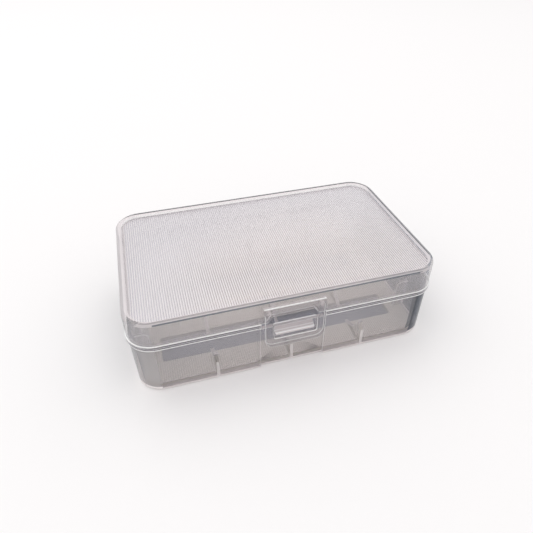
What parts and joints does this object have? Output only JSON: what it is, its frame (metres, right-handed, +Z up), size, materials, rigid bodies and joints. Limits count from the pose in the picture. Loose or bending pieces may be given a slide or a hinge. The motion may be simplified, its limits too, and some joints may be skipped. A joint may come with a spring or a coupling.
{
  "type": "hinged battery storage case",
  "caption": "Flat see-through plastic case for long cylindrical cells: ribbed lid and floor, skirted lid on a rear hinge, front snap latch, cradle plates and end stops inside.",
  "frame": {"origin": "middle of the flat underside of the base, on the surface that the case rests on", "axes": "+X along the long side, to the right when the latch faces the viewer; +Y from the latch to the hinge; +Z up through the lid"},
  "size_m": [0.08, 0.0526, 0.0238],
  "materials": {
    "clear_shell": "clear moulded polystyrene, gloss walls with finely ribbed top and floor",
    "clear_latch": "clear moulded plastic, gloss",
    "pin_steel": "drawn wire, cut to length"
  },
  "bodies": {
    "base": {"case_base": "clear_shell", "hinge_pin_left": "pin_steel", "hinge_pin_right": "pin_steel"},
    "lid": {"lid_shell": "clear_shell"},
    "latch": {"latch_flap": "clear_latch"}
  },
  "joints": [
    {"name": "lid_hinge", "type": "hinge", "parent": "base", "child": "lid", "pos_m": [0, 0.0254, 0.0146], "axis": [-1, 0, 0], "range_deg": [0, 180]},
    {"name": "latch_hinge", "type": "hinge", "parent": "lid", "child": "latch", "pos_m": [0, -0.025, 0.02065], "axis": [-1, 0, 0], "range_deg": [0, 115]}
  ]
}
